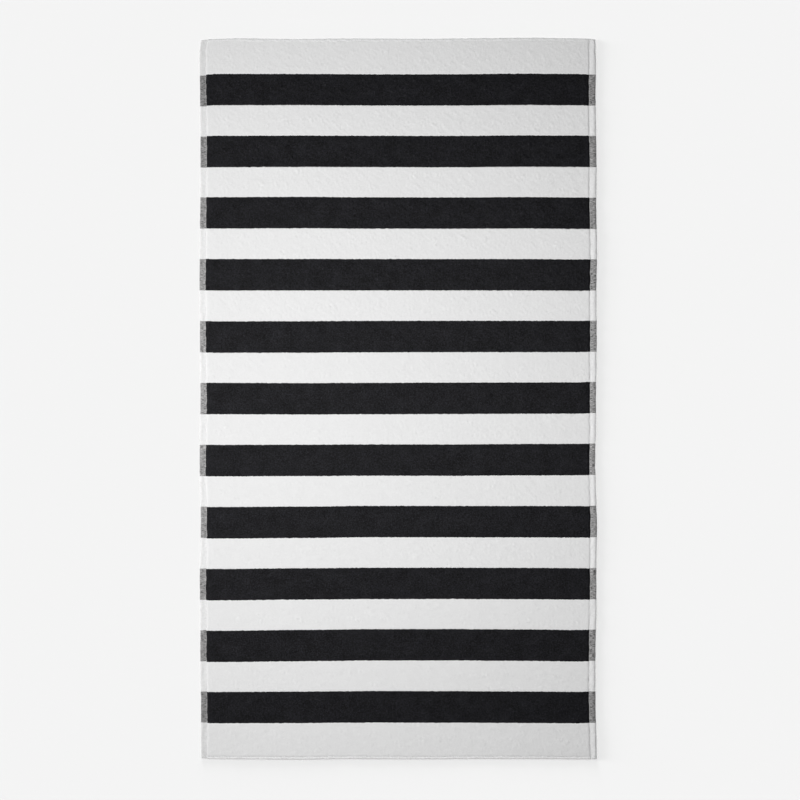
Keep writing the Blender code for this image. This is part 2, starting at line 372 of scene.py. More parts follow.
def seam_strays(x, y):
    """How far the hems' inner lines stray along X and Y, as the folds aren't quite straight."""
    side_inset, end_inset = insets(x, y)
    near_side = near(side_inset - SIDE_LINE, SIDE_LINE_REACH) * (side_inset > 0)
    near_end = near(end_inset - END_LINE, END_LINE_REACH) * (end_inset > 0)
    left = read_table(LEFT_SEAM_STRAYS, "y", "stray", y)
    right = read_table(RIGHT_SEAM_STRAYS, "y", "stray", y)
    side_waves = SIDE_LINE_WAVES * seam_waves(np.sign(x) * WIDTH / 2, y)
    end_waves = END_LINE_WAVES * seam_waves(x, np.sign(y) * LENGTH / 2)
    stray = side_waves + MILLIMETRE * np.where(x < 0, left, right)
    return stray * near_side, end_waves * near_end


def drifted(x, y):
    """Where places of the straight towel really lie, as its sides, ends and stripes stray."""
    stray_x, stray_y = seam_strays(x, y)
    across = x / WIDTH + 0.5
    left = read_table(LEFT_DRIFTS, "y", "stray", y)
    right = read_table(RIGHT_DRIFTS, "y", "stray", y)
    first, last = STRIPE_DRIFTS[0].y, STRIPE_DRIFTS[-1].y
    to_bottom = ease(ramp(first - y, first + LENGTH / 2))
    to_top = ease(ramp(y - last, LENGTH / 2 - last))
    along = (stripe_drift(x, y) + STRIPES_UP) * (1.0 - to_bottom - to_top)
    along = along + to_bottom * read_table(END_DRIFTS, "x", "bottom", x)
    along = along + to_top * read_table(END_DRIFTS, "x", "top", x)
    return x + stray_x + MILLIMETRE * lerp(left, right, across), y + stray_y + MILLIMETRE * along


def wrinkled(wrinkles, x, y):
    """How high a table's wrinkles stand at these places."""
    rise = np.zeros(np.broadcast(x, y).shape)
    for wrinkle in wrinkles:
        angle = math.radians(wrinkle.degrees)
        along = (x - wrinkle.x) * math.cos(angle) + (y - wrinkle.y) * math.sin(angle)
        across = (y - wrinkle.y) * math.cos(angle) - (x - wrinkle.x) * math.sin(angle)
        spread = (2 * along / wrinkle.length) ** 2 + (2 * across / wrinkle.width) ** 2
        rise += wrinkle.height * np.exp(-spread)
    return rise


def unevenness(x, y):
    """How far the pile stands above its even height, from the swells and the wrinkles."""
    rise = wrinkled(WRINKLES, x, y)
    for swell in SWELLS:
        turn = 2 * math.pi * (x / swell.wave_x + y / swell.wave_y) + swell.phase
        rise += swell.height * np.cos(turn)
    return rise


def side_hem_height(x, inset):
    return on_sides(x, SIDE_HEM, "inset", inset, smooth=False)


def ground_height(x, y):
    """The height of the hems and of the ground weave under the pile, on the straight towel."""
    side_inset, end_inset = insets(x, y)
    at_bottom = y < 0
    side = side_hem_height(x, side_inset)
    # Between the side hems, the end hems stand above the ground weave.
    between = ease(ramp(side_inset - SIDE_STITCH_INSET, LIFT_RAMPS.side))
    side = side + END_HEM_LIFT * between * ramp(END_HEM_REACH - end_inset, LIFT_RAMPS.end)
    bottom = read_table(END_HEM, "inset", "bottom", end_inset, smooth=False)
    top = read_table(END_HEM, "inset", "top", end_inset, smooth=False)
    # The stitches pinch the end hems more in some places than in others.
    stitch_inset = np.where(at_bottom, BOTTOM_STITCH_INSET, TOP_STITCH_INSET)
    in_groove = near(end_inset - stitch_inset, GROOVE_REACH)
    pinched = in_groove * np.maximum(pinches(x, np.sign(y)), -1.0)
    end = np.where(at_bottom, bottom, top) - pinched * np.where(at_bottom, BOTTOM_PINCH, TOP_PINCH)
    # The side hems are turned over the end hems, so no end groove shows on them.
    covered = 1.0 - ramp(side_inset - SIDE_HEM_REACH, COVER_RAMP)
    fold = side_hem_height(x, np.minimum(end_inset, FOLD_REACH))
    end = lerp(end, np.where(end_inset > FOLD_REACH, 1.0, fold), ease(covered))
    past_edge = ramp(np.minimum(side_inset, end_inset), EVEN_EDGE)
    in_side = ease(1.0 - ramp(side_inset, CORNER_REACH.side))
    in_end = ease(1.0 - ramp(end_inset, CORNER_REACH.end))
    height = np.minimum(side, end) + CORNER_BULK * in_side * in_end * past_edge
    wavy = HEM_WAVES * hem_waves(x, y) * past_edge
    return height + wavy + wrinkled(HEM_DENTS, x, y) + unevenness(x, y) * height / PILE_LEVEL


def rounded_corners(x, y):
    """Draws the towel's square corners in to round ones."""
    side_inset, end_inset = insets(x, y)
    across = 1.0 - ramp(side_inset, CORNER_ROUNDING)
    along = 1.0 - ramp(end_inset, CORNER_ROUNDING)
    shift_x = across * (np.sqrt(1.0 - along**2 / 2) - 1.0) * CORNER_ROUNDING
    shift_y = along * (np.sqrt(1.0 - across**2 / 2) - 1.0) * CORNER_ROUNDING
    spread = np.where(x > 0, RIGHT_HEM_SPREAD, 1.0)
    return x + np.sign(x) * shift_x * spread, y + np.sign(y) * shift_y


def wavy_rim(x, y):
    """Lets the outer millimetres of the hems stray a little."""
    side_inset, end_inset = insets(x, y)
    stray = RIM_WAVES * rim_waves(x, y)
    near_side = 1.0 - ramp(side_inset, RIM_REACH.side)
    near_end = 1.0 - ramp(end_inset, RIM_REACH.end)
    return x + stray * near_side, y + stray * near_end


def joined(parts):
    """Rows of points, from parts that each hold their coordinates as columns."""
    return np.concatenate([np.stack(part, axis=1) for part in parts])


def grid_lines(half, hem, steps, spread=1.0):
    """A grid's lines from one side to the other: a hem's lines, even steps, and the other hem's."""
    hem_lines = np.array([section.inset for section in hem])
    first, last = hem_lines - half, half - hem_lines[::-1] * spread
    field = np.linspace(first[-1], last[0], steps + 1)[1:-1]
    return np.concatenate([first, field, last])


def ring_of(rows, columns):
    """The grid points round its border, anticlockwise from the lower left."""
    index = np.arange(rows * columns).reshape(rows, columns)
    return np.concatenate([index[0, :-1], index[:-1, -1], index[-1, :0:-1], index[:0:-1, 0]])


def grid_faces(rows, columns):
    index = np.arange(rows * columns).reshape(rows, columns)
    corners = (index[:-1, :-1], index[:-1, 1:], index[1:, 1:], index[1:, :-1])
    return np.stack([corner.ravel() for corner in corners], axis=1)


def ring_shares(x, y):
    """How far round the towel each point of a ring lies, as a share from its first corner on."""
    step = np.hypot(np.diff(x, append=x[0]), np.diff(y, append=y[0]))
    return np.concatenate([[0.0], np.cumsum(step)[:-1]]) / step.sum()


def zip_rings(outer, outer_shares, inner, inner_shares):
    """Triangles between two rings of different counts, seen from below."""
    faces, i, j = [], 0, 0
    outer_next = np.append(outer_shares[1:], 1.0)
    inner_next = np.append(inner_shares[1:], 1.0)
    while i < len(outer) or j < len(inner):
        a, b = outer[i % len(outer)], inner[j % len(inner)]
        if j >= len(inner) or (i < len(outer) and outer_next[i] <= inner_next[j]):
            faces.append((outer[(i + 1) % len(outer)], a, b))
            i += 1
        else:
            faces.append((a, b, inner[(j + 1) % len(inner)]))
            j += 1
    return faces


CLOTH_MAP = "cloth"
BAKE_MAP = "OFBake"
THREAD_MAP = "thread"
LOOP_LIGHT_AND_SHADE = "loop_light_and_shade"


def add_object(name, data):
    thing = bpy.data.objects.new(name, data)
    bpy.context.scene.collection.objects.link(thing)
    return thing


def make_piece(name, points, faces, maps, loop_shading, material):
    """A mesh object; each map gives a place on it for every corner of every face."""
    mesh = bpy.data.meshes.new(name)
    mesh.from_pydata(points.tolist(), [], faces)
    mesh.materials.append(material)
    for map_name, places in maps.items():
        layer = mesh.uv_layers.new(name=map_name)
        layer.uv.foreach_set("vector", np.ascontiguousarray(places, dtype=np.float32).ravel())
    if loop_shading is not None:
        mesh.attributes.new(LOOP_LIGHT_AND_SHADE, "FLOAT", "POINT").data.foreach_set("value", loop_shading)
    mesh.shade_smooth()
    mesh.update()
    return add_object(name, mesh)


def hem_slip(x, y):
    """How far the hems' stripes lie along +Y from the pile's."""
    side_inset, _ = insets(x, y)
    in_hem = ramp(SLIP_INSET - side_inset, SLIP_RAMP)
    return MILLIMETRE * on_sides(x, HEM_SLIPS, "y", y) * in_hem


def make_cloth():
    """The cloth: a fine grid for its hems and ground weave, a rim, and a coarser underside."""
    columns = grid_lines(WIDTH / 2, SIDE_HEM, FACE_COLUMNS, RIGHT_HEM_SPREAD)
    rows = grid_lines(LENGTH / 2, END_HEM, FACE_ROWS)
    x, y = (part.ravel() for part in np.meshgrid(columns, rows))
    z = ground_height(x, y)
    ring = ring_of(len(rows), len(columns))
    faces = grid_faces(len(rows), len(columns)).tolist()
    points = [(*drifted(*wavy_rim(*rounded_corners(x, y))), z)]
    places = [(x, y)]

    # The rim goes in and down from the outline.
    edge_x, edge_y = rounded_corners(x[ring], y[ring])
    run_x = np.roll(edge_x, -1) - np.roll(edge_x, 1)
    run_y = np.roll(edge_y, -1) - np.roll(edge_y, 1)
    run = np.hypot(run_x, run_y)
    out_x, out_y = run_y / run, -run_x / run
    above, count, height, fallen = ring, len(x), z[ring], 0.0
    for section in RIM:
        foot_x, foot_y = edge_x - out_x * section.inset, edge_y - out_y * section.inset
        points.append((*drifted(*wavy_rim(foot_x, foot_y)), np.full(len(ring), section.height)))
        fallen = fallen + np.hypot(section.inset, height - section.height)
        places.append((x[ring] + out_x * fallen, y[ring] + out_y * fallen))
        below = np.arange(count, count + len(ring))
        quads = np.stack([above, below, np.roll(below, -1), np.roll(above, -1)], axis=1)
        faces += quads.tolist()
        above, count, height = below, count + len(ring), section.height
    face_count = len(faces)

    # The underside
    under_columns = grid_lines(WIDTH / 2, UNDER_SIDE_HEM, UNDER_COLUMNS, RIGHT_HEM_SPREAD)
    under_rows = grid_lines(LENGTH / 2, UNDER_END_HEM, UNDER_ROWS)
    under_x, under_y = (part.ravel() for part in np.meshgrid(under_columns, under_rows))
    side_inset, end_inset = insets(under_x, under_y)
    side = read_table(UNDER_SIDE_HEM, "inset", "height", side_inset)
    end = read_table(UNDER_END_HEM, "inset", "height", end_inset)
    in_field = (side_inset > UNDER_FIELD.side) & (end_inset > UNDER_FIELD.end)
    lifted = UNDER_LIFT * (1.0 + np.tanh(hem_waves(under_x, under_y)))
    points.append((*drifted(under_x, under_y), np.maximum(side, end) + in_field * lifted))
    places.append((under_x, under_y))
    under_ring = ring_of(len(under_rows), len(under_columns))
    shares = ring_shares(x[ring], y[ring])
    under_shares = ring_shares(under_x[under_ring], under_y[under_ring])
    faces += zip_rings(above, shares, under_ring + count, under_shares)
    faces += (grid_faces(len(under_rows), len(under_columns))[:, ::-1] + count).tolist()

    # The underside's map starts where the rim ends, and the face's map has the rim round it.
    under_places = [(0 * x, 0 * y), *[(foot_x, foot_y)] * len(RIM), (under_x, under_y)]
    corner = np.concatenate([np.asarray(face) for face in faces])
    is_under = np.repeat(np.arange(len(faces)) >= face_count, [len(face) for face in faces])
    on_cloth = np.where(is_under[:, None], joined(under_places)[corner], joined(places)[corner])
    cloth_x, cloth_y = on_cloth.T
    # For baking, the face takes the left half and the underside the right half.
    bake_u = 0.25 + 0.475 * cloth_x / WIDTH + 0.5 * is_under
    bake_v = 0.5 + 0.98 * cloth_y / LENGTH
    maps = {
        CLOTH_MAP: np.stack([cloth_x, cloth_y - hem_slip(cloth_x, cloth_y)], axis=1),
        BAKE_MAP: np.stack([bake_u, bake_v], axis=1),
    }
    return joined(points), faces, maps, None


def lattice(columns, rows):
    """A band of triangles: its points' shares across and along, which are loops, and the faces."""
    number, row = np.meshgrid(np.arange(columns + 2), np.arange(rows + 1))
    across = np.clip((number - 0.5 * (row % 2)) / columns, 0.0, 1.0)
    loops = (number - (row + 1) // 2 - row) % 3 == 0
    index = row * (columns + 2) + number
    triangles = []
    for low in range(rows):
        even, odd = index[low + low % 2], index[low + 1 - low % 2]
        on_even = np.stack([even[:columns], even[1 : columns + 1], odd[1 : columns + 1]], axis=1)
        on_odd = np.stack([even[: columns + 1], odd[1 : columns + 2], odd[: columns + 1]], axis=1)
        if low % 2:
            on_even, on_odd = on_even[:, ::-1], on_odd[:, ::-1]
        triangles += [on_even, on_odd]
    return across.ravel(), row.ravel() / rows, loops.ravel(), np.concatenate(triangles)


def drawn_out(share, length, at_low, at_high):
    """Moves shares of a length so that the first points stand close to an outer border."""
    low, high = share * length, (1.0 - share) * length
    low = low**2 / (low + PILE_WALL) if at_low else low
    high = high**2 / (high + PILE_WALL) if at_high else high
    return low / (low + high)


def make_pile(bands, dip, rng):
    """A sheet of loops for some bands, each a lattice with hollows between its loops."""
    left = PILE_LEFT_INSET - WIDTH / 2
    right = WIDTH / 2 - PILE_RIGHT_INSET * RIGHT_HEM_SPREAD
    bottom, top = PILE_BOTTOM_INSET - LENGTH / 2, LENGTH / 2 - PILE_TOP_INSET
    columns = round((right - left) / LOOP_ACROSS)
    points, faces, cloth_places, bake_places, loop_shading = [], [], [], [], []
    count = 0
    for slot, (start, end) in enumerate(bands):
        rows = 2 * round((end - start) / LOOP_ALONG / 2)
        across, along, loops, triangles = lattice(columns, rows)
        inner_x, inner_y = (across > 0) & (across < 1), (along > 0) & (along < 1)
        x = lerp(left, right, drawn_out(across, right - left, True, True))
        y = lerp(start, end, drawn_out(along, end - start, start == bottom, end == top))
        side_border = np.minimum(x - left, right - x)
        end_border = np.minimum(y - bottom, top - y)
        border = np.minimum(side_border, end_border)
        room = np.clip(border / LOOP_ACROSS, 0.2, 1.0)
        x = x + inner_x * room * rng.uniform(-LOOP_STRAY, LOOP_STRAY, x.shape) * LOOP_ACROSS
        y = y + inner_y * room * rng.uniform(-LOOP_STRAY, LOOP_STRAY, y.shape) * LOOP_ALONG
        jags = BORDER_JAGS * stripe_jags(x, y) + rng.uniform(-BORDER_FRAY, BORDER_FRAY, y.shape)
        y = y + ~inner_y * jags * np.where(end_border > 0, 1.0, 0.5)
        high = LOOP_PEAK * rng.uniform(*LOOP_SPREAD, x.shape)
        low = -LOOP_VALLEY * rng.uniform(*LOOP_SPREAD, x.shape)
        relief = np.where(loops, high, low) + CLUMPS * pile_clumps(x, y)
        # In some places the loops stand more unevenly than in others, and most so beside the seams.
        relief = relief * np.exp(CLOUD_SPREAD * pile_clouds(x, y))
        at_top = (y > 0) & (end_border < side_border)
        at_seam = near(border, PILE_SHOULDER) * np.where(at_top, TOP_SEAM_SPREAD, SEAM_SPREAD)
        relief = relief * (1.0 + at_seam) + CLOUDS * pile_clouds(x, y)
        rise = ramp(border, PILE_SHOULDER)
        foot = np.where(at_top, PILE_TOP_FOOT, PILE_FOOT)
        level = lerp(foot, PILE_LEVEL, rise ** (1.0 / PILE_STEEPNESS))
        level = level - dip * (~inner_y & (end_border > 0))
        z = level + relief * np.clip(3.0 * rise, 0.0, 1.0) + unevenness(x, y)
        used = np.unique(triangles)
        renumber = np.zeros(len(x), int)
        renumber[used] = np.arange(len(used))
        faces.append(renumber[triangles] + count)
        count += len(used)
        points.append([part[used] for part in (*drifted(x, y), z)])
        cloth_places.append((x[used], y[used]))
        # For baking, each band has its own strip of the picture.
        bake_u = 0.01 + 0.98 * (x - left) / (right - left)
        bake_v = (slot + 0.5 + 0.94 * ((y - start) / (end - start) - 0.5)) / len(bands)
        bake_places.append((bake_u[used], bake_v[used]))
        # Painted light and shade for each point: loop tops lighter, some far brighter as glints,
        # hollows darker
        lit_loop_tops = LIT_TOP_TONE + rng.exponential(GLINT_SPREAD, x.shape)
        loop_shading.append(np.where(loops, lit_loop_tops, rng.uniform(*GAP_SHADE_TONES, x.shape))[used])
    faces = np.concatenate(faces)
    corner = faces.ravel()
    maps = {CLOTH_MAP: joined(cloth_places)[corner], BAKE_MAP: joined(bake_places)[corner]}
    return joined(points), faces.tolist(), maps, np.concatenate(loop_shading)


def pile_bands():
    """Where the bands of pile start and end along Y, from the bottom up: black ones, white ones."""
    edges = [-STRIPED / 2 + n * PITCH for n in range(BLACK_STRIPES)]
    black = [(edge - BLACK_LEAN, edge + BLACK_BAND + BLACK_LEAN) for edge in edges]
    tops = [PILE_BOTTOM_INSET - LENGTH / 2] + [top for _, top in black]
    bottoms = [bottom for bottom, _ in black] + [LENGTH / 2 - PILE_TOP_INSET]
    return black, list(zip(tops, bottoms))


# Sewing
STITCH_PITCH = 0.0035
STITCH_LENGTH = 0.0031
STITCH_STRAY, STITCH_SKEW = 0.0001, 0.00008  # along the seam and across it
THREAD_RADIUS = 0.00024
THREAD_TAPER, THREAD_FLATNESS = 0.75, 0.75
THREAD_SINK, THREAD_RISE = 0.4, 0.6  # of its ends and its middle, in radii
UNDER_THREAD_LEVEL = 0.00040
SEAM_END = LENGTH / 2 - 0.0012
SEAM_LEFT = SIDE_STITCH_INSET - WIDTH / 2
SEAM_RIGHT = WIDTH / 2 - SIDE_STITCH_INSET * RIGHT_HEM_SPREAD
SEAM_BOTTOM = BOTTOM_STITCH_INSET - LENGTH / 2
SEAM_TOP = LENGTH / 2 - TOP_STITCH_INSET
SEAMS = table(
    "start_x start_y end_x end_y",
    (SEAM_LEFT, -SEAM_END, SEAM_LEFT, SEAM_END),
    (SEAM_RIGHT, -SEAM_END, SEAM_RIGHT, SEAM_END),
    (SEAM_LEFT, SEAM_BOTTOM, SEAM_RIGHT, SEAM_BOTTOM),
    (SEAM_LEFT, SEAM_TOP, SEAM_RIGHT, SEAM_TOP),
)


def stitch(sides, rings):
    """A thread capsule: its points along, across, up and round, and its triangles."""
    points, faces = [], []
    for station in np.linspace(-1.0, 1.0, rings + 2):
        along = station * STITCH_LENGTH / 2
        if abs(station) == 1.0:
            points.append((along, 0.0, -THREAD_SINK * THREAD_RADIUS, 0.0))
            continue
        radius = THREAD_RADIUS * math.sqrt(1.0 - THREAD_TAPER * station**4)
        arch = THREAD_RADIUS * (1.0 - station**2)
        for angle in np.arange(sides) * 2 * math.pi / sides:
            up = arch + THREAD_FLATNESS * radius * math.sin(angle)
            points.append((along, radius * math.cos(angle), up, angle * THREAD_RADIUS))
    for k in range(sides):
        here, there = 1 + k, 1 + (k + 1) % sides
        faces.append((0, here, there))
        for ring in range(rings - 1):
            a, b = here + ring * sides, there + ring * sides
            faces += [(a, a + sides, b + sides), (a, b + sides, b)]
        last = (rings - 1) * sides
        faces.append((last + here, len(points) - 1, last + there))
    return np.array(points).T, np.array(faces)


def make_stitches(rng, sides, rings, sign):
    """Thread capsules along every seam, on the towel's face or, with sign -1, its underside."""
    (ahead, aside, up, turned), one = stitch(sides, rings)
    x, y, along = [], [], []
    for seam in SEAMS:
        run_x, run_y = seam.end_x - seam.start_x, seam.end_y - seam.start_y
        length = math.hypot(run_x, run_y)
        run_x, run_y = run_x / length, run_y / length
        total = int(length / STITCH_PITCH)
        for n in range(total):
            middle = (n + 0.5) * length / total
            at = middle + rng.uniform(-STITCH_STRAY, STITCH_STRAY) + ahead
            skew = rng.uniform(-STITCH_SKEW, STITCH_SKEW) + aside
            x.append(seam.start_x + at * run_x - skew * run_y)
            y.append(seam.start_y + at * run_y + skew * run_x)
            along.append(at)
    count = len(x)
    x, y, along = (np.concatenate(part) for part in (x, y, along))
    ground = ground_height(x, y) if sign > 0 else UNDER_THREAD_LEVEL
    z = ground + sign * (np.tile(up, count) + THREAD_RISE * THREAD_RADIUS)
    if sign < 0:
        z = np.maximum(z, 0.0)
    faces = (one[None, :, ::sign] + np.arange(count)[:, None, None] * len(up)).reshape(-1, 3)
    places = np.stack([along, np.tile(turned, count)], axis=1)
    points = np.stack([*drifted(x, y), z], axis=1)
    return points, faces.tolist(), {THREAD_MAP: places[faces.ravel()]}, None


def set_inputs(tree, node, inputs):
    """Sets a node's inputs, each to a value or to another node's output."""
    for name, value in inputs.items():
        if isinstance(value, bpy.types.NodeSocket):
            tree.links.new(value, node.inputs[name])
        else:
            node.inputs[name].default_value = value


def add_node(tree, kind, inputs, **settings):
    node = tree.nodes.new("ShaderNode" + kind)
    for name, value in settings.items():
        setattr(node, name, value)
    set_inputs(tree, node, inputs)
    return node


def math_node(tree, operation, first, second=0.0, third=0.0):
    inputs = {0: first, 1: second, 2: third}
    return add_node(tree, "Math", inputs, operation=operation).outputs[0]


def times(tree, first, second):
    return math_node(tree, "MULTIPLY", first, second)


def plus_times(tree, base, first, second):
    """The base and the product of two values."""
    return math_node(tree, "MULTIPLY_ADD", first, second, base)


def magnitude(tree, value):
    return math_node(tree, "ABSOLUTE", value)


def mix_colours(tree, share, first, second):
    inputs = {0: share, 6: first, 7: second}
    return add_node(tree, "Mix", inputs, data_type="RGBA").outputs[2]


def noise(tree, vector, scale, detail=2.0, rough=0.5, stretch=(1.0, 1.0, 1.0)):
    """A noise from 0 to 1 over places in metres, about scale spots to the metre."""
    mapped = add_node(tree, "Mapping", {"Vector": vector, "Scale": stretch}).outputs[0]
    inputs = {"Vector": mapped, "Scale": scale, "Detail": detail, "Roughness": rough}
    return add_node(tree, "TexNoise", inputs).outputs[0]


def varied(tree, base, *parts):
    """A base value times one plus each noise's share, where parts are (noise, strength)."""
    total = 1.0
    for spots, strength in parts:
        total = plus_times(tree, total, math_node(tree, "SUBTRACT", spots, 0.5), strength)
    return times(tree, total, base)


def grey(tree, value, tint):
    """A colour from a value and a tint."""
    inputs = {n: times(tree, value, part) for n, part in enumerate(tint)}
    return add_node(tree, "CombineColor", inputs).outputs[0]


def bump_node(tree, height, strength, distance, before=None, **settings):
    """A bump of this height, on top of another one if that is given."""
    inputs = {"Height": height, "Strength": strength, "Distance": distance}
    if before is not None:
        inputs["Normal"] = before
    return add_node(tree, "Bump", inputs, **settings).outputs[0]


def new_material(name):
    material = bpy.data.materials.new(name)
    material.use_nodes = True
    return material, material.node_tree, material.node_tree.nodes["Principled BSDF"]


def places_on(tree, map_name):
    return add_node(tree, "UVMap", {}, uv_map=map_name).outputs[0]


WHITE_TINT = (1.0, 1.0, 1.0)
BLACK_TINT = (0.92, 0.92, 1.18)
WHITE_COTTON = 0.895
WHITE_WEAVE = 0.91
BLACK_COTTON = 0.0036
THREAD_COTTON = 0.90
TERRIES = table(
    "name base tint spread rough rough_spread shine sheen",
    ("white_terry", WHITE_COTTON, WHITE_TINT, 0.024, 0.90, 0.10, 0.25, 0.10),
    ("black_terry", BLACK_COTTON, BLACK_TINT, 3.0, 0.46, -0.75, 0.120, 0.0),
)

# The marl in the side hems: its tone, and how strongly picks and patches vary it
MARL_WIDTH = 0.0164
MARL_TINT = (1.0, 0.99, 0.99)
MARL_TONE, MARL_LEAST = 0.315, 0.03
MARL_PICKS, MARL_PICKS_RIGHT, MARL_PATCHES = 4.1, 1.3, 1.3
# Painted light and shade on the marl: its brightness mid-length, its fall towards the ends, and
# what is added on the right
MARL_MIDDLE, MARL_SHADE_FALL = 1.15, -0.50
MARL_MIDDLE_RIGHT, MARL_SHADE_FALL_RIGHT = -0.12, 0.23
# Painted shade on the left hem near its ends, and how much greyer the right hem is throughout
LEFT_HEM_PAINTED_SHADE, RIGHT_HEM_GREY = 0.12, 0.02
# The close puckers of the end hems: how far in, how strong their painted shade is, and what is
# added at the bottom
CLOSE_WIDTH, CLOSE_SHADE, CLOSE_SHADE_BOTTOM = 0.0100, 0.24, 0.36


def pile_material(name, base, tint, spread, rough, rough_spread, shine, sheen):
    """Cotton loops: a mottled colour with painted light and shade on the loops, soft fibres in the
    bump and a matt sheen.
    """
    material, tree, shader = new_material(name)
    place = places_on(tree, CLOTH_MAP)
    clouds = noise(tree, place, 28.0)
    clumps = noise(tree, place, 180.0, stretch=(1.0, 0.9, 1.0))
    fibres = noise(tree, place, 1500.0, detail=3.0)
    # Painted glints: here and there a loop is painted brighter, as if it caught the light; four
    # times the noise's cube is about 0.5 on average.
    glints = math_node(tree, "POWER", noise(tree, place, 300.0, detail=1.0), 3.0)
    painted_glints = times(tree, glints, 4.0)
    # Each loop is a little dome: the gaps deepen as the square of the way from its top.
    inputs = {"Vector": place, "Scale": 620.0, "Smoothness": 0.35}
    settings = {"voronoi_dimensions": "2D", "feature": "SMOOTH_F1"}
    from_top = add_node(tree, "TexVoronoi", inputs, **settings).outputs["Distance"]
    gaps = times(tree, from_top, from_top)
    loop_light_and_shade = add_node(tree, "Attribute", {}, attribute_name=LOOP_LIGHT_AND_SHADE).outputs["Fac"]
    # Painted light and shade from the loops' tops, glints and gaps; clouds, clumps and fibres vary
    # the cotton's own tone
    tone = varied(
        tree,
        base,
        (loop_light_and_shade, spread),
        (clouds, 1.1 * spread),
        (clumps, 1.0 * spread),
        (painted_glints, 0.8 * spread),
        (fibres, 0.6 * spread),
        (gaps, -1.2 * spread),
    )
    tone = math_node(tree, "MAXIMUM", tone, 0.2 * base)
    parts = ((clumps, rough_spread), (loop_light_and_shade, 0.6 * rough_spread), (clouds, 0.5 * rough_spread))
    fuzz = bump_node(tree, fibres, 0.4, 0.0004)
    inputs = {
        "Base Color": grey(tree, tone, tint),
        "Roughness": varied(tree, rough, *parts),
        "Normal": bump_node(tree, gaps, 1.0, 0.0005, fuzz, invert=True),
        "Sheen Weight": sheen,
        "Sheen Roughness": 0.5,
        "Specular IOR Level": shine,
    }
    set_inputs(tree, shader, inputs)
    return material


def marl_colour(tree, picks, patches, on_right, from_centre):
    """Short dark and light picks of yarn along the weft, with painted shade darkening them towards
    the ends.
    """
    pick_share = plus_times(tree, MARL_PICKS, on_right, MARL_PICKS_RIGHT)
    tone = varied(tree, MARL_TONE, (picks, pick_share), (patches, MARL_PATCHES))
    # Painted light and shade: lighter at mid-length, darker towards the ends
    middle = plus_times(tree, MARL_MIDDLE, on_right, MARL_MIDDLE_RIGHT)
    fall = plus_times(tree, MARL_SHADE_FALL, on_right, MARL_SHADE_FALL_RIGHT)
    painted_falloff = plus_times(tree, middle, from_centre, fall)
    return grey(tree, times(tree, math_node(tree, "MAXIMUM", tone, MARL_LEAST), painted_falloff), MARL_TINT)


def weave_relief(tree, place, weave, end_puckers):
    """The bump of the yarns and their ribs, with soft puckers under them."""
    inputs = {"Vector": place, "Scale": 260.0, "Distortion": 1.2, "Detail Scale": 2.0}
    ribs = add_node(tree, "TexWave", inputs, bands_direction="Y").outputs[1]
    yarns = bump_node(tree, math_node(tree, "ADD", weave, times(tree, ribs, 0.5)), 0.5, 0.0002)
    close_puckers = times(tree, end_puckers, 0.3)
    puckers = math_node(tree, "ADD", noise(tree, place, 140.0, detail=1.0), close_puckers)
    return bump_node(tree, puckers, 1.0, 0.0012, yarns)


